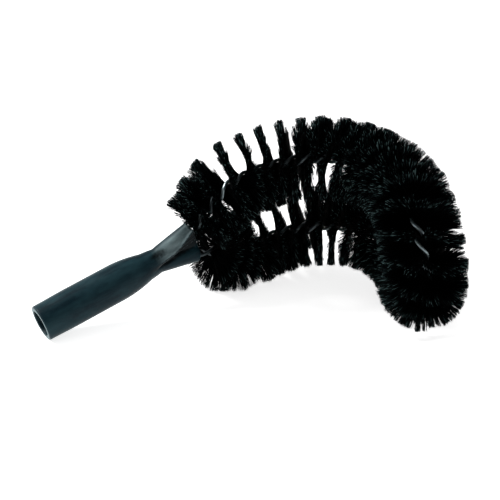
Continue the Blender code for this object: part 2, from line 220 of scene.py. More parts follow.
class ShaderDesk:
    """Adds nodes and links to one node tree."""

    def __init__(self, tree: bpy.types.NodeTree) -> None:
        """Clears the tree and keeps it."""
        tree.nodes.clear()
        self.tree = tree

    def node(self, kind: str, inputs: Inputs | None = None, **options: object) -> bpy.types.Node:
        """Adds one node.

        Args:
            kind: Blender's name for the kind of node.
            inputs: What each input is set to, or the socket that it is linked from.
            **options: The node's own settings.

        Returns:
            The new node.
        """
        made = self.tree.nodes.new(kind)
        for name, value in options.items():
            setattr(made, name, value)
        for key, value in (inputs or {}).items():
            if isinstance(value, bpy.types.NodeSocket):
                self.tree.links.new(value, made.inputs[key])
            else:
                made.inputs[key].default_value = value
        return made

    def math(self, operation: str, first: Setting, second: Setting = 0.0) -> Socket:
        """Adds a Math node and gives its result."""
        return self.node("ShaderNodeMath", {0: first, 1: second}, operation=operation).outputs[0]

    def product(self, first: Setting, *others: Setting) -> Setting:
        """Multiplies values, one after the other.

        Args:
            first: The first value.
            *others: The values that it is multiplied by.

        Returns:
            Their product.
        """
        for other in others:
            first = self.math("MULTIPLY", first, other)
        return first

    def noise(self, vector: Socket, grain: Grain) -> Socket:
        """Adds a Noise Texture.

        Args:
            vector: The place that it is read at.
            grain: How fine it is.

        Returns:
            Its value.
        """
        inputs: Inputs = {
            "Vector": vector,
            "Scale": grain.scale,
            "Detail": grain.detail,
            "Roughness": grain.rough,
        }
        return self.node("ShaderNodeTexNoise", inputs).outputs[0]

    def spread(self, value: Setting, ramp: Ramp) -> Socket:
        """Maps a value by a ramp and holds it at both ends."""
        inputs: Inputs = {0: value, 1: ramp.low, 2: ramp.high, 3: ramp.start, 4: ramp.end}
        return self.node("ShaderNodeMapRange", inputs, clamp=True).outputs[0]

    def mix(self, share: Setting, first: Setting, second: Setting) -> Socket:
        """Mixes two colours by a share and gives the result."""
        inputs: Inputs = {0: share, 6: first, 7: second}
        return self.node("ShaderNodeMix", inputs, data_type="RGBA", blend_type="MIX").outputs[2]

    def bump(self, height: Socket, strength: float, distance: float) -> Socket:
        """Adds a Bump node on the height and gives its normal."""
        inputs: Inputs = {"Height": height, "Strength": strength, "Distance": distance}
        return self.node("ShaderNodeBump", inputs).outputs[0]

    def apart(self, vector: Socket) -> bpy.types.bpy_prop_collection:
        """Gives the three numbers of a place as sockets."""
        return self.node("ShaderNodeSeparateXYZ", {0: vector}).outputs

    def place(self, lie: Lie, stretch: float = 1.0) -> Socket:
        """Gives the place on the piece in the brush's frame.

        Args:
            lie: How the brush lies on the ground.
            stretch: What the distance along the handle is multiplied by.

        Returns:
            The place.
        """
        where = self.node("ShaderNodeTexCoord").outputs["Object"]
        lifted: Inputs = {
            "Vector": where,
            "Location": lie.shift,
            "Rotation": (lie.roll, lie.pitch, 0.0),
        }
        turned = self.node("ShaderNodeMapping", lifted, vector_type="TEXTURE").outputs[0]
        stretched: Inputs = {"Vector": turned, "Scale": (stretch, 1.0, 1.0)}
        return self.node("ShaderNodeMapping", stretched, vector_type="POINT").outputs[0]

    def shine(self, inputs: Inputs) -> None:
        """Adds the Principled shader with these inputs, and the output."""
        shader = self.node("ShaderNodeBsdfPrincipled", inputs)
        self.node("ShaderNodeOutputMaterial", {"Surface": shader.outputs[0]})


def new_material(name: str) -> tuple[bpy.types.Material, ShaderDesk]:
    """Makes an empty material.

    Args:
        name: Its name.

    Returns:
        The material, and the desk that fills it.
    """
    material = bpy.data.materials.new(name)
    material.use_nodes = True
    return material, ShaderDesk(material.node_tree)


@dataclass(frozen=True)
class MouldedPlastic:
    """Dark slate plastic: satin, cloudy and streaked, with worn edges, a painted highlight on the
    bill's face and painted shade in its creases, hollows and bore.
    """

    lie: Lie
    relief: BillRelief
    colour: Colour = (0.0006, 0.0115, 0.0180, 1.0)
    cloudy: Colour = (0.0130, 0.0430, 0.0530, 1.0)
    worn: Colour = (0.070, 0.110, 0.115, 1.0)
    # Painted highlight: the pale colour laid on the bill's face above the crest, where the lamp
    # catches it.
    face_highlight: Colour = (0.240, 0.320, 0.330, 1.0)
    # Painted shade: the near-black laid in the creases, the hollow under the crest, the dimple and
    # the bore.
    painted_shade: Colour = (0.0015, 0.0035, 0.0045, 1.0)
    cloud_stretch: float = 0.35
    cloud_grain: Grain = Grain(70.0, 4.0, 0.55)
    clouds: Ramp = Ramp(0.40, 0.66, 0.0, 0.85)
    streak_stretch: float = 0.08
    streak_grain: Grain = Grain(260.0, 3.0)
    streaks: Ramp = Ramp(0.45, 0.75, 0.0, 0.35)
    fine_grain: Grain = Grain(1500.0, 2.0)
    fine_share: float = 0.6
    coarse_grain: Grain = Grain(420.0, 3.0)
    edge_wobble: Ramp = Ramp(0.3, 0.7, -0.03, 0.03)
    edges: Ramp = Ramp(0.56, 0.68, 0.0, 0.55)
    crease_shade: Ramp = Ramp(0.485, 0.44, 0.0, 0.8)
    line_wobble: Ramp = Ramp(0.3, 0.7, -0.0007, 0.0007)
    near_side: Ramp = Ramp(0.004, -0.002)
    face_edge: Ramp = Ramp(0.0, 0.0015)
    face_clouds: Ramp = Ramp(0.35, 0.62, 0.35, 1.0)
    face_start: Ramp = Ramp(-0.044, -0.024)
    hollow_top: Ramp = Ramp(-0.0002, 0.0010, 1.0, 0.0)
    hollow_foot: Ramp = Ramp(-0.0010, 0.0020)
    hollow_start: Ramp = Ramp(-0.056, -0.040, 0.0, 0.95)
    dimple: Ramp = Ramp(0.0052, 0.0024, 0.0, 0.85)
    mouth: float = -0.166
    bore_radius: float = 0.0128
    bore_depth: float = 0.080
    bore_shade: Ramp = Ramp(0.0005, 0.012, 0.2, 1.0)
    roughness: Ramp = Ramp(0.3, 0.7, 0.38, 0.54)
    gloss: float = 0.12
    sheen: float = 0.58
    sheen_roughness: float = 0.26
    sheen_colour: Colour = (0.72, 0.97, 1.0, 1.0)
    bump_strength: float = 0.22
    bump_distance: float = 0.00035

    def material(self) -> bpy.types.Material:
        """Builds the node tree of this finish.

        Returns:
            The material.
        """
        material, desk = new_material("slate_moulded_plastic")
        evenly = desk.place(self.lie)
        clouds = desk.noise(desk.place(self.lie, self.cloud_stretch), self.cloud_grain)
        fine = desk.noise(evenly, self.fine_grain)
        coarse = desk.noise(evenly, self.coarse_grain)
        apart = desk.apart(evenly)
        base = self.mottled(desk, clouds)
        base = self.worn_edges_and_crease_shade(desk, coarse, base)
        base = self.bill(desk, apart, clouds, coarse, base)
        # Painted shade down the bore.
        base = desk.mix(self.in_bore(desk, apart), base, self.painted_shade)
        height = desk.math("ADD", desk.math("MULTIPLY", fine, self.fine_share), coarse)
        desk.shine(
            {
                "Base Color": base,
                "Roughness": desk.spread(coarse, self.roughness),
                "Specular IOR Level": self.gloss,
                "Sheen Weight": self.sheen,
                "Sheen Roughness": self.sheen_roughness,
                "Sheen Tint": self.sheen_colour,
                "Normal": desk.bump(height, self.bump_strength, self.bump_distance),
            }
        )
        return material

    def mottled(self, desk: ShaderDesk, clouds: Socket) -> Socket:
        """Colours the plastic with clouds, and with streaks along the handle.

        Args:
            desk: The desk of the material.
            clouds: The noise of the clouds.

        Returns:
            The colour.
        """
        base = desk.mix(desk.spread(clouds, self.clouds), self.colour, self.cloudy)
        flow = desk.noise(desk.place(self.lie, self.streak_stretch), self.streak_grain)
        return desk.mix(desk.spread(flow, self.streaks), base, self.cloudy)

    def worn_edges_and_crease_shade(self, desk: ShaderDesk, coarse: Socket, base: Socket) -> Socket:
        """Pales the edges, unevenly, and paints shade into the creases.

        Args:
            desk: The desk of the material.
            coarse: The noise that breaks up the wear.
            base: The colour so far.

        Returns:
            The new colour.
        """
        edge = desk.node("ShaderNodeNewGeometry").outputs["Pointiness"]
        chipped = desk.math("ADD", edge, desk.spread(coarse, self.edge_wobble))
        base = desk.mix(desk.spread(chipped, self.edges), base, self.worn)
        # Painted shade in the creases, where the surface is hollow.
        return desk.mix(desk.spread(edge, self.crease_shade), base, self.painted_shade)

    def bill(
        self,
        desk: ShaderDesk,
        apart: bpy.types.bpy_prop_collection,
        clouds: Socket,
        coarse: Socket,
        base: Socket,
    ) -> Socket:
        """Paints a highlight on the bill's face over the crest, and paints shade into the hollow
        under it and the dimple.

        Args:
            desk: The desk of the material.
            apart: The place's three numbers in the brush's frame.
            clouds: The noise that breaks up the painted highlight.
            coarse: The noise that makes the borders of the painted marks uneven.
            base: The colour so far.

        Returns:
            The new colour.
        """
        wobble = desk.spread(coarse, self.line_wobble)
        above = desk.math("ADD", self.over_line(desk, apart, self.relief.crest), wobble)
        below = desk.math("ADD", self.over_line(desk, apart, self.relief.foot), wobble)
        near = desk.spread(apart[1], self.near_side)
        # Painted highlight on the bill's face above the crest, broken up by the clouds.
        face = desk.product(
            desk.spread(above, self.face_edge),
            near,
            desk.spread(clouds, self.face_clouds),
            desk.spread(apart[0], self.face_start),
        )
        base = desk.mix(face, base, self.face_highlight)
        # Painted shade in the hollow under the crest.
        hollow_shade = desk.product(
            desk.spread(above, self.hollow_top),
            desk.spread(below, self.hollow_foot),
            desk.spread(apart[0], self.hollow_start),
            near,
        )
        base = desk.mix(hollow_shade, base, self.painted_shade)
        # Painted shade in the dimple.
        stretch = self.relief.dimple_stretch
        along, beside, up = self.relief.dimple
        gap: Inputs = {0: desk.place(self.lie, stretch), 1: (along * stretch, beside, up)}
        dent = desk.node("ShaderNodeVectorMath", gap, operation="DISTANCE").outputs[1]
        dent = desk.math("ADD", dent, wobble)
        return desk.mix(desk.spread(dent, self.dimple), base, self.painted_shade)

    def over_line(
        self, desk: ShaderDesk, apart: bpy.types.bpy_prop_collection, line: Table
    ) -> Socket:
        """Gives how far a place on the bill lies above a line that runs along it.

        Args:
            desk: The desk of the material.
            apart: The place's three numbers in the brush's frame.
            line: The line's stations along the handle, each with the line's height there.

        Returns:
            The distance, below 0 under the line.
        """
        level: Setting = line[0][1]
        for (start, low), (end, high) in zip(line, line[1:]):
            rise = desk.spread(apart[0], Ramp(start, end, 0.0, high - low))
            level = desk.math("ADD", level, rise)
        beside = desk.math("MULTIPLY", apart[1], self.relief.across)
        height = desk.math("ADD", beside, desk.math("MULTIPLY", apart[2], self.relief.up))
        return desk.math("SUBTRACT", height, level)

    def in_bore(self, desk: ShaderDesk, apart: bpy.types.bpy_prop_collection) -> Setting:
        """Gives how much the shade of the bore covers a place.

        Args:
            desk: The desk of the material.
            apart: The place's three numbers in the brush's frame.

        Returns:
            A share that is 0 outside the bore and grows to 1 down it.
        """
        aside = desk.node("ShaderNodeCombineXYZ", {1: apart[1], 2: apart[2]}).outputs[0]
        radius = desk.node("ShaderNodeVectorMath", {0: aside}, operation="LENGTH").outputs[1]
        return desk.product(
            desk.math("LESS_THAN", radius, self.bore_radius),
            desk.math("LESS_THAN", apart[0], self.mouth + self.bore_depth),
            desk.spread(apart[0], self.bore_shade.moved(self.mouth)),
        )


@dataclass(frozen=True)
class GalvanisedSteel:
    """Zinc-coated wire: pale grey metal, spangled and dulled in patches, with painted shade where
    it lies deep in the bristles, darkest near the bill.
    """

    lie: Lie
    bright: Colour = (0.54, 0.66, 0.68, 1.0)
    dull: Colour = (0.23, 0.30, 0.32, 1.0)
    # Painted shade: a dim grey along the legs and a near-black by the bill, where the bristles
    # shade the wire.
    painted_shade_grey: Colour = (0.050, 0.060, 0.066, 1.0)
    painted_deep_shade: Colour = (0.008, 0.010, 0.011, 1.0)
    spangle_scale: float = 900.0
    spangle_share: float = 0.35
    patch_grain: Grain = Grain(240.0, 4.0, 0.6)
    patches: Ramp = Ramp(0.35, 0.7, 0.0, 0.6)
    shade_start: Ramp = Ramp(0.052, 0.058, 0.0, 0.72)
    shade_end: Ramp = Ramp(0.13, 0.16, 1.0, 0.0)
    deep_shade_end: Ramp = Ramp(0.040, 0.034, 0.0, 0.92)
    fine_grain: Grain = Grain(2600.0, 2.0)
    roughness: Ramp = Ramp(0.3, 0.7, 0.30, 0.50)
    bump_strength: float = 0.18
    bump_distance: float = 0.00020

    def material(self) -> bpy.types.Material:
        """Builds the node tree of this finish.

        Returns:
            The material.
        """
        material, desk = new_material("galvanised_steel_wire")
        where = desk.place(self.lie)
        cells: Inputs = {"Vector": where, "Scale": self.spangle_scale}
        spangle = desk.node("ShaderNodeTexVoronoi", cells).outputs["Color"]
        grey = desk.node("ShaderNodeSeparateColor", {0: spangle}).outputs[0]
        patches = desk.noise(where, self.patch_grain)
        spangled = desk.math("MULTIPLY", grey, self.spangle_share)
        share = desk.math("ADD", spangled, desk.spread(patches, self.patches))
        base = desk.mix(share, self.bright, self.dull)
        along = desk.apart(where)[0]
        # Painted shade on the wire: dim along the legs, near-black by the bill.
        wire_shade = desk.product(desk.spread(along, self.shade_start), desk.spread(along, self.shade_end))
        base = desk.mix(wire_shade, base, self.painted_shade_grey)
        base = desk.mix(desk.spread(along, self.deep_shade_end), base, self.painted_deep_shade)
        height = desk.math("ADD", desk.noise(where, self.fine_grain), patches)
        desk.shine(
            {
                "Base Color": base,
                "Metallic": 1.0,
                "Roughness": desk.spread(patches, self.roughness),
                "Normal": desk.bump(height, self.bump_strength, self.bump_distance),
            }
        )
        return material


@dataclass(frozen=True)
class BlackFilament:
    """Black synthetic filament: darkest at its root, and a few have a painted highlight on their
    cut tip.
    """

    root: Colour = (0.0001, 0.0002, 0.0002, 1.0)
    body: Colour = (0.0002, 0.0005, 0.0007, 1.0)
    # Painted highlight: the pale colour on the tips of a few filaments.
    tip: Colour = (0.1500, 0.2500, 0.2500, 1.0)
    clear_of_root: Ramp = Ramp(0.15, 0.75)
    at_tip: Ramp = Ramp(0.86, 0.98)
    few: float = 16.0
    scuff_grain: Grain = Grain(700.0, 2.0)
    scuffs: Ramp = Ramp(0.62, 0.8, 0.0, 0.03)
    roughness: Ramp = Ramp(0.0, 1.0, 0.30, 0.46)
    gloss: float = 0.004

    def material(self) -> bpy.types.Material:
        """Builds the node tree of this finish.

        Returns:
            The material.
        """
        material, desk = new_material("black_synthetic_filament")
        along = desk.node("ShaderNodeAttribute", attribute_name="along").outputs["Fac"]
        shade = desk.node("ShaderNodeAttribute", attribute_name="shade").outputs["Fac"]
        where = desk.node("ShaderNodeTexCoord").outputs["Object"]
        base = desk.mix(desk.spread(along, self.clear_of_root), self.root, self.body)
        # Painted highlight on the tips of a few filaments.
        few = desk.math("POWER", shade, self.few)
        tip_glint = desk.math("MULTIPLY", desk.spread(along, self.at_tip), few)
        base = desk.mix(tip_glint, base, self.tip)
        scuffs = desk.spread(desk.noise(where, self.scuff_grain), self.scuffs)
        base = desk.mix(scuffs, base, self.tip)
        desk.shine(
            {
                "Base Color": base,
                "Roughness": desk.spread(shade, self.roughness),
                "Specular IOR Level": self.gloss,
            }
        )
        return material


def dress(
    name: str, mesh: bpy.types.Mesh, finish: bpy.types.Material, slot: Slot, *nodes: str
) -> None:
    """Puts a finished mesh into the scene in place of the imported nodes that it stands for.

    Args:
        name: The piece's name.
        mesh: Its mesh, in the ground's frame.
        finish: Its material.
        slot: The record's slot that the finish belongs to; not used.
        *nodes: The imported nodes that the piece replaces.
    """
    piece = bpy.data.objects.new(name, mesh)
    bpy.context.scene.collection.objects.link(piece)
    mesh.materials.append(finish)
    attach(piece, "root")
    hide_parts(*nodes)
    LOG.info("%s: %d faces, stands for %s", name, len(mesh.polygons), ", ".join(nodes))


def mesh_from(shape: bmesh.types.BMesh, name: str) -> bpy.types.Mesh:
    """Turns a shape into a mesh and frees the shape.

    Args:
        shape: The shape.
        name: The mesh's name.

    Returns:
        The new mesh.
    """
    mesh = bpy.data.meshes.new(name)
    shape.to_mesh(mesh)
    shape.free()
    return mesh


@dataclass
class Hairpin:
    """The centre line of the twisted wire, with a frame that doesn't turn about it.

    The wire starts in the bill's upper socket and leaves it at the exit mark. The upper leg splays
    out, runs straight and then bends twice, more tightly the second time. The turn joins it to the
    lower leg, which is its mirror image.
    """

    ends_apart: float = 0.029
    leg_spacing: float = 0.090
    splay: float = 0.060
    straight: float = 0.064
    first_radius: float = 0.120
    second_radius: float = 0.095
    first_bend: float = math.radians(32.0)
    second_bend: float = math.radians(83.0)
    fork: float = 0.052
    exit_mark: float = 0.0121
    pitch: float = 0.03525
    twist_start: float = math.radians(117.0)
    step: float = 0.0005
    exit_slope: float = field(init=False)
    half_turn: float = field(init=False)
    first_end: float = field(init=False)
    leg_end: float = field(init=False)
    length: float = field(init=False)
    marks: Array = field(init=False)
    points: Array = field(init=False)
    tangents: Array = field(init=False)
    normals: Array = field(init=False)
    binormals: Array = field(init=False)

    def __post_init__(self) -> None:
        """Works out the line from the sizes."""
        self.exit_slope = self.ends_apart / 2 / self.fork
        self.half_turn = self.pitch / 2
        self.first_end = self.straight + self.first_bend * self.first_radius
        self.leg_end = self.first_end + self.second_bend * self.second_radius
        leg = self._leg()
        corners = np.array(leg + self._turn(leg[-1]))
        corners = np.concatenate([corners, corners[-2::-1] * (1.0, 1.0, -1.0)])
        steps = np.linalg.norm(np.diff(corners, axis=0), axis=1)
        marks = np.concatenate([[0.0], np.cumsum(steps)])
        self.length = float(marks[-1])
        self.marks = np.linspace(0.0, self.length, int(round(self.length / self.step)) + 1)
        self.points = np.stack([np.interp(self.marks, marks, row) for row in corners.T], axis=1)
        self.tangents = unit(np.gradient(self.points, axis=0))
        self.normals = self._carried_normals()
        self.binormals = np.cross(self.tangents, self.normals)

    def _leg(self) -> list[Triple]:
        """Gives the points of the upper leg.

        Returns:
            Places from inside its socket to the end of the C.
        """
        inside = self.exit_mark / math.hypot(1.0, self.exit_slope)
        points = [(-inside, 0.0, self.ends_apart / 2 - inside * self.exit_slope)]
        count = int(self.leg_end / self.step)
        step = self.leg_end / count
        x = y = 0.0
        for index in range(count + 1):
            along = index * step
            points.append((x, y, self._half_gap(along)))
            heading = self._heading(along + step / 2)
            x += math.cos(heading) * step
            y += math.sin(heading) * step
        return points

    def _half_gap(self, along: float) -> float:
        """Gives the leg's height over the plane of the C.

        Args:
            along: The distance along the leg from the bill.

        Returns:
            The height there.
        """
        share = min(along / self.splay, 1.0)
        carried = self.exit_slope * along * (1.0 - share) * (1.0 - share)
        return between(self.ends_apart, self.leg_spacing, smooth_step(share)) / 2 + carried

    def _heading(self, along: float) -> float:
        """Gives the direction of the C in its plane.

        Args:
            along: The distance along the leg from the bill.

        Returns:
            The angle from the handle's own direction.
        """
        if along <= self.straight:
            return 0.0
        if along <= self.first_end:
            return -(along - self.straight) / self.first_radius
        return -self.first_bend - (along - self.first_end) / self.second_radius

    def _turn(self, end: Triple) -> list[Triple]:
        """Gives the points of the first half of the turn that joins the legs.

        Args:
            end: The end of the upper leg.

        Returns:
            Places from there to the middle of the turn.
        """
        radius = self.leg_spacing / 2
        heading = self._heading(self.leg_end)
        ahead_x, ahead_y = math.cos(heading), math.sin(heading)
        count = int(radius * math.pi / 2 / self.step)
        points = []
        for index in range(1, count + 1):
            turned = index / count * math.pi / 2
            reach = radius * math.sin(turned)
            drop = radius * math.cos(turned)
            points.append((end[0] + ahead_x * reach, end[1] + ahead_y * reach, drop))
        return points

    def _carried_normals(self) -> Array:
        """Carries a direction across the line along it, without turning it about the line.

        Returns:
            A unit vector across the line at each of its points.
        """
        carried = np.zeros_like(self.points)
        across = np.array((0.0, 0.0, 1.0))
        for index, tangent in enumerate(self.tangents):
            across = across - tangent * across.dot(tangent)
            across = across / np.linalg.norm(across)
            carried[index] = across
        return carried

    def twist_at(self, marks: Array) -> Array:
        """Gives the angle of the clamped band about the line: the twist is to the left."""
        return self.twist_start - 2 * math.pi * (marks - self.exit_mark) / self.pitch

    def table(self, values: Array, marks: Array) -> Array:
        """Reads a table of the line at distances along it."""
        return np.stack([np.interp(marks, self.marks, row) for row in values.T], axis=-1)

    def band_at(self, marks: Array, twist: Array) -> tuple[Array, Array]:
        """Gives the directions along and across the band.

        Args:
            marks: Distances along the line.
            twist: The band's angle at each.

        Returns:
            Unit vectors along the band, and unit vectors across it.
        """
        normal = self.table(self.normals, marks)
        binormal = self.table(self.binormals, marks)
        cos, sin = np.cos(twist)[..., None], np.sin(twist)[..., None]
        return normal * cos + binormal * sin, binormal * cos - normal * sin


@dataclass
class TwistedWire:
    """The two strands of galvanised wire, twisted round each other with the band between them."""

    hairpin: Hairpin
    lie: Lie
    radius: float = 0.0018
    band: float = 0.0035
    rings_a_turn: int = 44
    sides: int = 18
    sharp: float = math.radians(50.0)

    def build(self, finish: bpy.types.Material) -> None:
        """Builds and dresses both strands.

        Args:
            finish: The material of the wire.
        """
        for strand, letter in ((Strand.FIRST, "a"), (Strand.SECOND, "b")):
            mesh = self.tube(strand, f"steel_strand_{letter}")
            dress(f"steel_strand_{letter}", mesh, finish, Slot.WIRE, f"twisted_wire_{letter}")

    def tube(self, strand: Strand, name: str) -> bpy.types.Mesh:
        """Builds one strand as a closed round tube.

        Args:
            strand: Which strand.
            name: The mesh's name.

        Returns:
            The strand's mesh, in the ground's frame.
        """
        line = self.hairpin
        count = int(line.length / line.pitch * self.rings_a_turn)
        marks = np.linspace(0.0, line.length, count + 1)
        _, across = line.band_at(marks, line.twist_at(marks))
        aside = across * strand.value * (self.radius + self.band / 2)
        course = line.table(line.points, marks) + aside
        ahead = unit(np.gradient(course, axis=0))
        first = unit(across - ahead * np.sum(across * ahead, axis=1)[:, None])
        second = np.cross(ahead, first)
        shape = bmesh.new()
        rings = []
        for angle in np.linspace(0.0, 2 * math.pi, self.sides, endpoint=False):
            ring = course + (first * math.cos(angle) + second * math.sin(angle)) * self.radius
            rings.append([shape.verts.new(place) for place in self.lie.laid(ring)])
        for index, ring in enumerate(rings):
            following = rings[(index + 1) % self.sides]
            for near, far in zip(range(count), range(1, count + 1)):
                shape.faces.new((ring[near], ring[far], following[far], following[near]))
        for end in (0, -1):
            shape.faces.new([ring[end] for ring in rings])
        bmesh.ops.recalc_face_normals(shape, faces=shape.faces)
        mesh = mesh_from(shape, name)
        mesh.shade_smooth()
        mesh.set_sharp_from_angle(angle=self.sharp)
        return mesh


@dataclass(frozen=True)
class FlatMap:
    """How the filaments lie on the flat map: each has a cell, with its faces in the middle."""

    columns: int = 48
    margin: float = 0.1
    cap_foot: float = 0.2
    cap_height: float = 0.6

    def unroll(self, mesh: bpy.types.Mesh, total: int, rings: int) -> None:
        """Lays each filament's faces in a cell of its own.

        Args:
            mesh: The mesh of the filaments: all their sides, then their lower and upper caps.
            total: How many filaments it has.
            rings: How many rings of corners each filament has.
        """
        rows = math.ceil(total / self.columns)
        cells = np.arange(total)[:, None, None, None]
        left = cells % self.columns / self.columns
        low = cells // self.columns / rows
        aside, over = self.margin / self.columns, self.margin / rows
        wide = (1 - 2 * self.margin) / self.columns / CORNERS
        high = (1 - 2 * self.margin) / rows / (rings + 1)
        step = np.arange(rings - 1)[None, :, None, None]
        facet = np.arange(CORNERS)[None, None, :, None]
        across, up = np.broadcast_arrays(
            left + aside + (facet + np.array((0.0, 1.0, 1.0, 0.0))) * wide,
            low + over + (step + 1 + np.array((0.0, 0.0, 1.0, 1.0))) * high,
        )
        laid = [np.stack([across, up], axis=-1).reshape(-1, 2)]
        for foot in (self.cap_foot, rings + self.cap_foot):
            across, up = np.broadcast_arrays(
                left[:, 0, 0] + aside + np.array((0.0, 1.0, 0.5)) * wide,
                low[:, 0, 0] + over + (foot + np.array((0.0, 0.0, self.cap_height))) * high,
            )
            laid.append(np.stack([across, up], axis=-1).reshape(-1, 2))
        layer = mesh.uv_layers.new(name="OFBake")
        layer.data.foreach_set("uv", np.concatenate(laid).astype(np.float32).ravel())


@dataclass
class BristleFins:
    """The filaments: each passes between the two strands and stands out on both sides.

    They stand in clumps of uneven width. Each leaves its clamped place along the band and bends
    to its tip by its lean along the wire, its curl, its share of the fan and the pull of its
    clump. The tables go by the mark along the hairpin: `shorter` gives the share of the full
    reach, `leans` the furthest lean and `pulls` the pull. `looseness` gives how much of the fan
    is left at each pull.

    Attributes:
        spare: How much the last half turn may be short of its full length.
        taper: How late along it a filament gets thinner.
        ring_shares: Where along a half its rings of corners stand.
        upright: How steep a filament is when its corners are set out from X and not from Z.
        stray: How far filaments cross to the next clump, as a share of a clump.
        last_place: The highest share along a half turn.
        shortest: How far under the usual length one may be, in units of `uneven`.
        longest: How far over it one may be, in the same units.
        broken: The share of filaments that are broken.
        stump: The shortest broken one, as a share of its whole length.
        bend: Where along it a filament bends.
        interleave: How far filaments of one leg reach past the middle to the other leg's side.
        give: How much of what would lie past that is left.
        nearly: The share of a leg's full height at which it counts as the straight leg.
    """

    hairpin: Hairpin
    lie: Lie
    flat_map: FlatMap = FlatMap()
    reach: float = 0.0397
    shorter: Table = ((0.017, 0.83), (0.050, 1.0))
    start: float = 0.0050
    spare: float = 0.0003
    band: float = 0.0030
    radius: float = 0.00021
    tip_radius: float = 0.00015
    taper: int = 3
    ring_shares: Triple = (0.30, 0.65, 1.0)
    upright: float = 0.9
    filaments: int = 1000
    first_filaments: int = 1150
    crowded_filaments: int = 1500
    crowded: tuple[int, ...] = (1, 2, 3, 8, 9, 10, 11)
    clumps: int = 36
    stray: float = 0.2
    last_place: float = 0.9999
    fan: float = math.radians(1.8)
    own_lean: float = 0.0005
    shared_lean: float = 0.45
    uneven: float = 0.0008
    shortest: float = 3.0
    longest: float = 1.2
    broken: float = 0.04
    stump: float = 0.7
    bend: float = 0.45
    curl: float = 0.0003
    interleave: float = 0.0040
    give: float = 0.2
    nearly: float = 0.995
    leans: tuple[Lean, ...] = (
        Lean(0.020, 0.0085, 0.0090),
        Lean(0.044, 0.0095, 0.0090),
        Lean(0.061, 0.0085, 0.0075),
        Lean(0.079, 0.0068, 0.0055),
        Lean(0.096, 0.0055, 0.0050),
        Lean(0.132, 0.0056, 0.0050),
        Lean(0.149, 0.0080, 0.0047),
        Lean(0.205, 0.0070, 0.0042),
        Lean(0.240, 0.0095, 0.0085),
        Lean(0.310, 0.0095, 0.0100),
        Lean(0.360, 0.0075, 0.0075),
        Lean(0.400, 0.0062, 0.0062),
        Lean(0.470, 0.0078, 0.0090),
        Lean(0.500, 0.0042, 0.0080),
        Lean(0.530, 0.0038, 0.0065),
        Lean(0.580, 0.0044, 0.0040),
        Lean(0.610, 0.0064, 0.0044),
        Lean(0.660, 0.0075, 0.0062),
    )
    pulls: Table = (
        (0.15, 0.08),
        (0.25, 0.25),
        (0.30, 0.30),
        (0.36, 0.50),
        (0.44, 0.50),
        (0.50, 0.30),
        (0.56, 0.12),
    )
    looseness: Table = ((0.30, 1.0), (0.60, 0.25))
    seed: int = 20

    def count(self) -> int:
        """Gives the number of half turns between the two ends of the bristles."""
        covered = self.hairpin.length - 2 * (self.hairpin.exit_mark + self.start)
        return int((covered + self.spare) / self.hairpin.half_turn)

    def filaments_in(self, index: int) -> int:
        """Gives the number of filaments in a half turn."""
        total = self.crowded_filaments if index in self.crowded else self.filaments
        return total if index else self.first_filaments

    def build(self, finish: bpy.types.Material) -> None:
        """Builds and dresses the filaments of each half turn.

        Args:
            finish: The material of the filaments.
        """
        draw = np.random.default_rng(self.seed)
        for index in range(self.count()):
            name = f"filament_fan_{index + 1:02d}"
            mesh = self.fan_mesh(index, name, draw)
            dress(name, mesh, finish, Slot.BRISTLE, f"bristle_tuft_{index + 1:02d}")

    def fan_mesh(self, index: int, name: str, draw: np.random.Generator) -> bpy.types.Mesh:
        """Builds the filaments of one half turn.

        Args:
            index: Which half turn, from the end of the upper leg at the bill.
            name: The mesh's name.
            draw: The source of chance.

        Returns:
            The mesh of the filaments, in the ground's frame.
        """
        line = self.hairpin
        total = self.filaments_in(index)
        begin = line.exit_mark + self.start + index * line.half_turn
        marks = begin + line.half_turn * (np.arange(total) + draw.random(total)) / total
        _, across = line.band_at(marks, line.twist_at(marks))
        offset = draw.uniform(-0.5, 0.5, total) * self.band
        root = line.table(line.points, marks) + across * offset[:, None]
        ahead = self.half(marks, root, 1.0, draw)
        behind = self.half(marks, root, -1.0, draw)
        spine = np.concatenate([behind[:, ::-1], root[:, None], ahead], axis=1)
        spine = self.lie.laid(spine.reshape(-1, 3)).reshape(spine.shape)
        spine[:, :, 2] = np.maximum(spine[:, :, 2], self.radius)
        return self.tubes(name, spine, draw)

    def half(self, marks: Array, root: Array, side: float, draw: np.random.Generator) -> Array:
        """Works out one half of every filament of a half turn.

        Args:
            marks: Where each filament is clamped, along the hairpin.
            root: The clamped place of each filament.
            side: Which side of the band the half stands out on, as 1 or -1.
            draw: The source of chance.

        Returns:
            The places along each half, from near the root to the tip: filament, place, axis.
        """
        line = self.hairpin
        total = len(marks)
        cell, centre = self.clumped(marks, draw)
        leave, _ = line.band_at(marks, line.twist_at(marks))
        outward = np.sum(leave * line.table(line.normals, marks), axis=1) * side
        lean = draw.uniform(-1.0, 1.0, self.clumps) * self.shared_lean
        own = draw.uniform(-1.0, 1.0, total) * (1.0 - self.shared_lean)
        longer = self.varied(self.clumps, draw)
        pull = read(self.pulls, marks)
        tip_mark = marks + (centre - marks) * pull
        fanned = draw.normal(0.0, self.fan, total) * read(self.looseness, pull)
        out, _ = line.band_at(tip_mark, line.twist_at(tip_mark) + fanned)
        length = self.lengths(marks, longer[cell], draw)
        drift = (lean[cell] + own) * self.widest(marks, outward)
        drift = drift + draw.normal(0.0, self.own_lean, total)
        tip = line.table(line.points, tip_mark) + out * side * length[:, None]
        tip = tip + line.table(line.tangents, tip_mark) * drift[:, None]
        curl = draw.normal(0.0, self.curl, (total, 3))
        bend = root + leave * side * (length * self.bend)[:, None] + curl
        places = [
            root * (1 - along) ** 2 + bend * 2 * along * (1 - along) + tip * along**2
            for along in self.ring_shares
        ]
        return self.pressed(np.stack(places, axis=1), root)

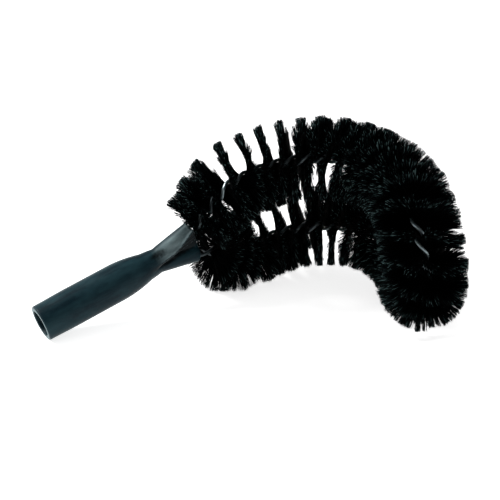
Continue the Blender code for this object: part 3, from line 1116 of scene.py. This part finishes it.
    def clumped(self, marks: Array, draw: np.random.Generator) -> tuple[Array, Array]:
        """Sorts the filaments of a half turn into clumps of uneven size.

        Args:
            marks: Where each filament is clamped, along the hairpin.
            draw: The source of chance.

        Returns:
            The clump of each filament, and where the middle of its clump is.
        """
        span = self.hairpin.half_turn
        share = (marks - marks.min()) / span
        edges = np.concatenate([[0.0], np.sort(draw.random(self.clumps - 1)), [1.0]])
        strayed = share + draw.normal(0.0, self.stray, len(marks)) / self.clumps
        strayed = np.clip(strayed, 0.0, self.last_place)
        cell = np.searchsorted(edges, strayed, side="right") - 1
        centre = marks.min() + span * (edges[1:] + edges[:-1]) / 2
        return cell, centre[cell]

    def widest(self, marks: Array, outward: Array) -> Array:
        """Gives how far filaments may lean along the wire.

        Args:
            marks: Where each filament is clamped, along the hairpin.
            outward: How far it points away from the other leg, from -1 to 1.

        Returns:
            The furthest that each may lean.
        """
        stations, outer, inner = zip(*self.leans)
        facing = np.interp(marks, stations, inner)
        return between(facing, np.interp(marks, stations, outer), 0.5 + 0.5 * outward)

    def lengths(self, marks: Array, longer: Array, draw: np.random.Generator) -> Array:
        """Works out how far filaments reach, with some of them broken.

        Args:
            marks: Where each filament is clamped, along the hairpin.
            longer: How much longer its clump is than the others.
            draw: The source of chance.

        Returns:
            The reach of each.
        """
        total = len(marks)
        length = self.reach * read(self.shorter, marks) + longer + self.varied(total, draw)
        broken = draw.random(total) < self.broken
        return np.where(broken, length * draw.uniform(self.stump, 1.0, total), length)

    def varied(self, total: int, draw: np.random.Generator) -> Array:
        """Gives differences in length, none of them so long that it stands out alone."""
        drawn = draw.normal(0.0, self.uneven, total)
        return np.clip(drawn, -self.uneven * self.shortest, self.uneven * self.longest)

    def pressed(self, places: Array, root: Array) -> Array:
        """Bends filaments that would cross to the other leg back to their own side.

        Args:
            places: The places along each half: filament, place, axis.
            root: The clamped place of each filament.

        Returns:
            The places, pressed back.
        """
        side = np.sign(root[:, 2])[:, None]
        on_leg = np.abs(root[:, 2]) > self.hairpin.leg_spacing / 2 * self.nearly
        near_bill = root[:, 0] < self.hairpin.splay
        height = places[:, :, 2] * side
        pressed = -self.interleave + (height + self.interleave) * self.give
        pressed = np.where(height < -self.interleave, pressed, height)
        places[:, :, 2] = np.where((on_leg | near_bill)[:, None], pressed, height) * side
        return places

    def tubes(self, name: str, spine: Array, draw: np.random.Generator) -> bpy.types.Mesh:
        """Builds a thin three-sided tube round each filament's line.

        Args:
            name: The mesh's name.
            spine: The places along each filament: filament, place, axis.
            draw: The source of chance.

        Returns:
            The mesh, with how far along and what shade each filament is as attributes.
        """
        total, rings, _ = spine.shape
        run = unit(spine[:, -1] - spine[:, 0])
        helper = np.where(np.abs(run[:, 2:3]) < self.upright, (0.0, 0.0, 1.0), (1.0, 0.0, 0.0))
        first = unit(np.cross(run, helper))
        second = np.cross(run, first)
        shares = np.array(self.ring_shares)
        shares = np.concatenate([shares[::-1], [0.0], shares])
        radius = between(self.radius, self.tip_radius, shares**self.taper)
        start = draw.random(total) * 2 * math.pi
        base = (np.arange(total) * rings * CORNERS)[:, None, None]
        ring = (np.arange(rings - 1) * CORNERS)[None, :, None]
        corners, quads = [], []
        for corner in range(CORNERS):
            angle = start + corner * 2 * math.pi / CORNERS
            aside = first * np.cos(angle)[:, None] + second * np.sin(angle)[:, None]
            corners.append(spine + aside[:, None, :] * radius[None, :, None])
            following = (corner + 1) % CORNERS
            quad = (corner, following, following + CORNERS, corner + CORNERS)
            quads.append(base + ring + np.array(quad))
        points = np.stack(corners, axis=2).reshape(-1, 3)
        sides = np.stack(quads, axis=2).reshape(-1, 4)
        low = base[:, 0] + np.arange(CORNERS)[::-1]
        high = low[:, ::-1] + (rings - 1) * CORNERS
        mesh = bpy.data.meshes.new(name)
        mesh.from_pydata(points.tolist(), [], sides.tolist() + low.tolist() + high.tolist())
        mesh.shade_smooth()
        attributes = {
            "along": np.tile(np.repeat(shares, CORNERS), total),
            "shade": np.repeat(draw.random(total), rings * CORNERS),
        }
        for title, values in attributes.items():
            data = mesh.attributes.new(title, "FLOAT", "POINT").data
            data.foreach_set("value", values.astype(np.float32))
        self.flat_map.unroll(mesh, total, rings)
        return mesh


@dataclass
class MouldedHandle:
    """The hollow handle: a round barrel that runs into a forked bill with two round lobes.

    Along the bill the lobes move apart, and a web joins them. The blend rounds the corner between
    lobe and web. The bulge is how far the middle of the bill's end stands out past its corners,
    and its fade is how soon that is gone towards the shoulder.
    """

    hairpin: Hairpin
    lie: Lie
    relief: BillRelief
    length: float = 0.166
    mouth_radius: float = 0.0176
    barrel_radius: float = 0.0182
    swell: float = 0.035
    shoulder_start: float = 0.080
    shoulder_end: float = 0.127
    lobe_radius: float = 0.0096
    web: float = 0.0030
    blend: int = 4
    bulge: float = 0.0050
    bulge_fade: int = 4
    bill_round: float = 0.0016
    rim_round: float = 0.0018
    lip: float = 0.0009
    bore_mouth: float = 0.0124
    bore_end: float = 0.0106
    bore_depth: float = 0.075
    socket_depth: float = 0.0130
    socket_radius: float = 0.00565
    socket_sides: int = 48
    cutter_overhang: float = 0.010
    sides: int = 160
    cap_shares: tuple[float, ...] = (0.1, 0.3, 0.5, 0.7, 0.85)
    round_steps: int = 6
    fork_steps: int = 32
    barrel_steps: int = 40
    rim_steps: int = 8
    lip_steps: int = 4
    bore_steps: int = 12
    sharp: float = math.radians(38.0)

    def build(self, finish: bpy.types.Material) -> None:
        """Builds and dresses the handle."""
        mesh = self.loft("handle_moulding")
        dress("handle_moulding", mesh, finish, Slot.HANDLE, "handle_socket")

    def outer_radius(self, from_mouth: float) -> float:
        """Gives the outer radius of the barrel, or of each lobe.

        Args:
            from_mouth: The distance from the mouth.

        Returns:
            The radius there.
        """
        if from_mouth <= self.swell:
            share = smooth_step(from_mouth / self.swell)
            return between(self.mouth_radius, self.barrel_radius, share)
        share = (from_mouth - self.shoulder_start) / (self.shoulder_end - self.shoulder_start)
        held = min(max(share, 0.0), 1.0)
        return between(self.barrel_radius, self.lobe_radius, held * held)

    def angles(self) -> Array:
        """Gives the angle of each corner of a ring."""
        return 2 * math.pi * np.arange(self.sides) / self.sides

    def section(self, from_mouth: float, inset: float = 0.0) -> Array:
        """Gives the outline across the handle's axis, drawn in from its full size.

        Args:
            from_mouth: The distance from the mouth.
            inset: How far the outline is drawn in.

        Returns:
            The places round the outline: across the web, and along it.
        """
        opened = max(1.0 - (self.length - from_mouth) / self.hairpin.fork, 0.0)
        centre = self.hairpin.ends_apart / 2 * opened
        radius = self.outer_radius(from_mouth) - inset
        web = self.web - inset
        angles = self.angles()
        across = (centre + radius) * np.sin(angles)
        beside = np.abs(across) - centre
        thick = np.sqrt(np.maximum(radius * radius - beside * beside, 0.0))
        webbed = (thick**self.blend + web**self.blend) ** (1 / self.blend)
        thick = np.where(beside < 0, webbed, thick)
        return np.stack([np.copysign(thick, np.cos(angles)), across], axis=1)

    def bill_end(self, across: Array) -> Array:
        """Gives how far the rounded end of the bill stands out past its corners."""
        half_width = self.hairpin.ends_apart / 2 + self.lobe_radius
        return self.bulge * (1.0 - (across / half_width) ** 2)

    def rings(self) -> list[Array]:
        """Gives the rings over the handle, from the end of the bill to the bottom of the bore.

        Returns:
            The places of each ring, one a row.
        """
        rings = []
        outline = self.section(self.length, self.bill_round)
        for share in self.cap_shares:
            flat = outline * share
            rings.append(np.column_stack([self.bill_end(flat[:, 1]), flat]))
        for index in range(self.round_steps + 1):
            turned = math.pi / 2 * index / self.round_steps
            outline = self.section(self.length, self.bill_round * (1.0 - math.sin(turned)))
            back = self.bill_round * (1.0 - math.cos(turned))
            rings.append(np.column_stack([self.bill_end(outline[:, 1]) - back, outline]))
        for index in range(1, self.fork_steps + 1):
            share = index / self.fork_steps
            from_mouth = between(self.length - self.bill_round, self.shoulder_end, share)
            outline = self.section(from_mouth)
            stand = self.bill_end(outline[:, 1]) * (1.0 - share) ** self.bulge_fade
            rings.append(np.column_stack([from_mouth - self.length + stand, outline]))
        stations = (self.shoulder_end, self.shoulder_start, self.rim_round)
        for start, end in zip(stations, stations[1:]):
            for index in range(1, self.barrel_steps + 1):
                from_mouth = between(start, end, index / self.barrel_steps)
                level = np.full(self.sides, from_mouth - self.length)
                rings.append(np.column_stack([level, self.section(from_mouth)]))
        return rings + self.bore_rings()

    def round_ring(self, from_mouth: float, radius: float) -> Array:
        """Makes a round ring about the handle's axis.

        Args:
            from_mouth: Its distance from the mouth.
            radius: Its radius.

        Returns:
            Its places, one a row.
        """
        level = np.full(self.sides, from_mouth - self.length)
        angles = self.angles()
        return np.column_stack([level, radius * np.cos(angles), radius * np.sin(angles)])

    def bore_rings(self) -> list[Array]:
        """Gives the rings round the lip of the mouth and down the tapered bore.

        Returns:
            The places of each ring, one a row.
        """
        rings = []
        for index in range(1, self.rim_steps + 1):
            turned = math.pi / 2 * index / self.rim_steps
            radius = self.outer_radius(self.rim_round) - self.rim_round * (1 - math.cos(turned))
            rings.append(self.round_ring(self.rim_round * (1 - math.sin(turned)), radius))
        for index in range(self.lip_steps + 1):
            turned = math.pi / 2 * index / self.lip_steps
            radius = self.bore_mouth + self.lip * (1 - math.sin(turned))
            rings.append(self.round_ring(self.lip * (1 - math.cos(turned)), radius))
        for index in range(1, self.bore_steps + 1):
            share = index / self.bore_steps
            depth = between(self.lip, self.bore_depth, share)
            rings.append(self.round_ring(depth, between(self.bore_mouth, self.bore_end, share)))
        return rings

    def loft(self, name: str) -> bpy.types.Mesh:
        """Builds the handle's mesh through its rings, cuts its sockets and presses its relief.

        Args:
            name: The mesh's name.

        Returns:
            The mesh, in the ground's frame.
        """
        shape = bmesh.new()
        loops = [[shape.verts.new(place) for place in ring] for ring in self.rings()]
        for near, far in zip(loops, loops[1:]):
            for index in range(self.sides):
                after = (index + 1) % self.sides
                shape.faces.new((near[index], near[after], far[after], far[index]))
        for loop in (loops[0], loops[-1]):
            middle = sum((vert.co for vert in loop), Vector()) / len(loop)
            centre = shape.verts.new(middle)
            for index in range(self.sides):
                shape.faces.new((loop[index], loop[(index + 1) % self.sides], centre))
        bmesh.ops.recalc_face_normals(shape, faces=shape.faces)
        mesh = self.socketed(name, mesh_from(shape, name))
        self.crease(mesh)
        mesh.transform(self.lie.matrix())
        mesh.shade_smooth()
        mesh.set_sharp_from_angle(angle=self.sharp)
        return mesh

    def cutter(self, side: float) -> bpy.types.Object:
        """Makes the round bar that cuts one socket.

        Args:
            side: Which lobe it cuts: 1 for the upper and -1 for the lower.

        Returns:
            The bar, in the scene.
        """
        shape = bmesh.new()
        bmesh.ops.create_cone(
            shape,
            cap_ends=True,
            segments=self.socket_sides,
            radius1=self.socket_radius,
            radius2=self.socket_radius,
            depth=self.socket_depth + self.cutter_overhang,
        )
        cutter = bpy.data.objects.new("socket_cutter", mesh_from(shape, "socket_cutter"))
        bpy.context.scene.collection.objects.link(cutter)
        way = Vector((1.0, 0.0, side * self.hairpin.exit_slope)).normalized()
        end = Vector((0.0, 0.0, side * self.hairpin.ends_apart / 2))
        cutter.location = end + way * ((self.cutter_overhang - self.socket_depth) / 2)
        cutter.rotation_mode = "QUATERNION"
        cutter.rotation_quaternion = way.to_track_quat("Z", "Y")
        return cutter

    def socketed(self, name: str, mesh: bpy.types.Mesh) -> bpy.types.Mesh:
        """Cuts a round socket for the wire into each lobe of the bill.

        Args:
            name: The mesh's name.
            mesh: The handle without sockets.

        Returns:
            The handle with its sockets.
        """
        body = bpy.data.objects.new(name, mesh)
        bpy.context.scene.collection.objects.link(body)
        cutters = [self.cutter(side) for side in (1.0, -1.0)]
        for cutter in cutters:
            cut = body.modifiers.new("socket", "BOOLEAN")
            cut.operation = "DIFFERENCE"
            cut.solver = "EXACT"
            cut.object = cutter
        bpy.context.view_layer.update()
        graph = bpy.context.evaluated_depsgraph_get()
        finished = bpy.data.meshes.new_from_object(body.evaluated_get(graph))
        for spare in (body, *cutters):
            bpy.data.objects.remove(spare, do_unlink=True)
        finished.name = name
        return finished

    def crease(self, mesh: bpy.types.Mesh) -> None:
        """Presses the relief into the bill.

        Args:
            mesh: The handle's mesh, in the brush's frame.
        """
        places = np.empty(len(mesh.vertices) * 3)
        mesh.vertices.foreach_get("co", places)
        places = places.reshape(-1, 3)
        along, beside, up = places.T
        opened = np.clip(1.0 + along / self.hairpin.fork, 0.0, 1.0)
        centre = self.hairpin.ends_apart / 2 * opened
        out = np.column_stack([np.zeros(len(places)), beside, up - np.clip(up, -centre, centre)])
        reach = np.linalg.norm(out, axis=1)
        inward = self.relief.depth(places, reach) / np.maximum(reach, TINY)
        places = places - out * inward[:, None]
        mesh.vertices.foreach_set("co", places.ravel())
        mesh.update()


@dataclass
class Studio:
    """The pale floor, the soft light and the camera."""

    white: Colour = (1.0, 1.0, 1.0, 1.0)
    floor_size: float = 9.0
    floor_sides: int = 64
    floor_level: float = -0.0002
    floor_colour: Colour = (0.80, 0.80, 0.80, 1.0)
    lift: float = 0.78
    sky: Ramp = Ramp(0.0, 0.9, 0.12, 0.66)
    background: Ramp = Ramp(0.22, 0.48, 1.0, 0.12)
    key: float = 3.3
    key_turn: Triple = (43.0, 0.0, -135.0)
    key_softness: float = 22.0
    lens: float = 98.27
    sensor: float = 36.0
    clip_start: float = 0.01
    eye: Triple = (-0.58664, -0.96871, 0.63710)
    right: Triple = (0.86121, -0.50822, 0.00514)
    up: Triple = (0.2196, 0.38123, 0.89802)
    back: Triple = (-0.45835, -0.77226, 0.43993)

    def build(self) -> None:
        """Sets up the floor, the world, the lamp, the camera and the view."""
        self.floor()
        self.world()
        self.key_light()
        self.camera()
        bpy.context.scene.view_settings.view_transform = "Standard"

    def seen(self, desk: ShaderDesk) -> Socket:
        """Tells rays that show the background from those that light by it.

        Args:
            desk: The desk of the floor's material or of the world.

        Returns:
            1 for a ray that shows it and 0 for one that lights.
        """
        path = desk.node("ShaderNodeLightPath").outputs
        first = desk.math("MAXIMUM", path["Is Camera Ray"], path["Is Glossy Ray"])
        return desk.math("MAXIMUM", first, path["Is Transmission Ray"])

    def floor(self) -> None:
        """Lays the floor, which shows white and keeps the brush's shadow."""
        shape = bmesh.new()
        radius = self.floor_size / 2
        bmesh.ops.create_circle(shape, cap_ends=True, segments=self.floor_sides, radius=radius)
        mesh = mesh_from(shape, "floor")
        material, desk = new_material("pale_floor")
        plain = desk.node("ShaderNodeBsdfDiffuse", {"Color": self.floor_colour}).outputs[0]
        glow: Inputs = {"Color": self.white, "Strength": self.lift}
        lift = desk.node("ShaderNodeEmission", glow).outputs[0]
        lifted = desk.node("ShaderNodeAddShader", {0: plain, 1: lift}).outputs[0]
        mixed = desk.node("ShaderNodeMixShader", {0: self.seen(desk), 1: plain, 2: lifted})
        desk.node("ShaderNodeOutputMaterial", {"Surface": mixed.outputs[0]})
        mesh.materials.append(material)
        floor = bpy.data.objects.new("floor", mesh)
        bpy.context.scene.collection.objects.link(floor)
        floor.location.z = self.floor_level

    def world(self) -> None:
        """Lights the scene evenly and shows white behind it."""
        world = bpy.data.worlds.new("studio")
        bpy.context.scene.world = world
        world.use_nodes = True
        desk = ShaderDesk(world.node_tree)
        way = desk.node("ShaderNodeTexCoord").outputs["Generated"]
        height = desk.apart(way)[2]
        sky = desk.spread(height, self.sky)
        background = desk.spread(height, self.background)
        shown: Inputs = {0: self.seen(desk), 2: sky, 3: background}
        strength = desk.node("ShaderNodeMix", shown, data_type="FLOAT").outputs[0]
        light: Inputs = {"Color": self.white, "Strength": strength}
        made = desk.node("ShaderNodeBackground", light)
        desk.node("ShaderNodeOutputWorld", {"Surface": made.outputs[0]})

    def key_light(self) -> None:
        """Adds a broad lamp that lights evenly from one direction."""
        lamp = bpy.data.lights.new("key_light", "SUN")
        lamp.energy = self.key
        lamp.angle = math.radians(self.key_softness)
        holder = bpy.data.objects.new("key_light", lamp)
        holder.rotation_euler = Euler([math.radians(angle) for angle in self.key_turn])
        bpy.context.scene.collection.objects.link(holder)

    def camera(self) -> None:
        """Sets the camera at the place and the angle that the brush is shown from."""
        made = bpy.data.cameras.new("camera")
        made.lens = self.lens
        made.sensor_width = self.sensor
        made.clip_start = self.clip_start
        holder = bpy.data.objects.new("camera", made)
        turn = Matrix((self.right, self.up, self.back)).transposed().to_4x4()
        holder.matrix_world = Matrix.Translation(Vector(self.eye)) @ turn
        bpy.context.scene.collection.objects.link(holder)
        bpy.context.scene.camera = holder


def main() -> None:
    """Builds the brush piece by piece and sets up the studio."""
    lie = Lie()
    relief = BillRelief()
    hairpin = Hairpin()
    MouldedHandle(hairpin, lie, relief).build(MouldedPlastic(lie, relief).material())
    TwistedWire(hairpin, lie).build(GalvanisedSteel(lie).material())
    BristleFins(hairpin, lie).build(BlackFilament().material())
    Studio().build()


if __name__ == "__main__":
    logging.basicConfig(level=logging.INFO, format="%(message)s")
    main()
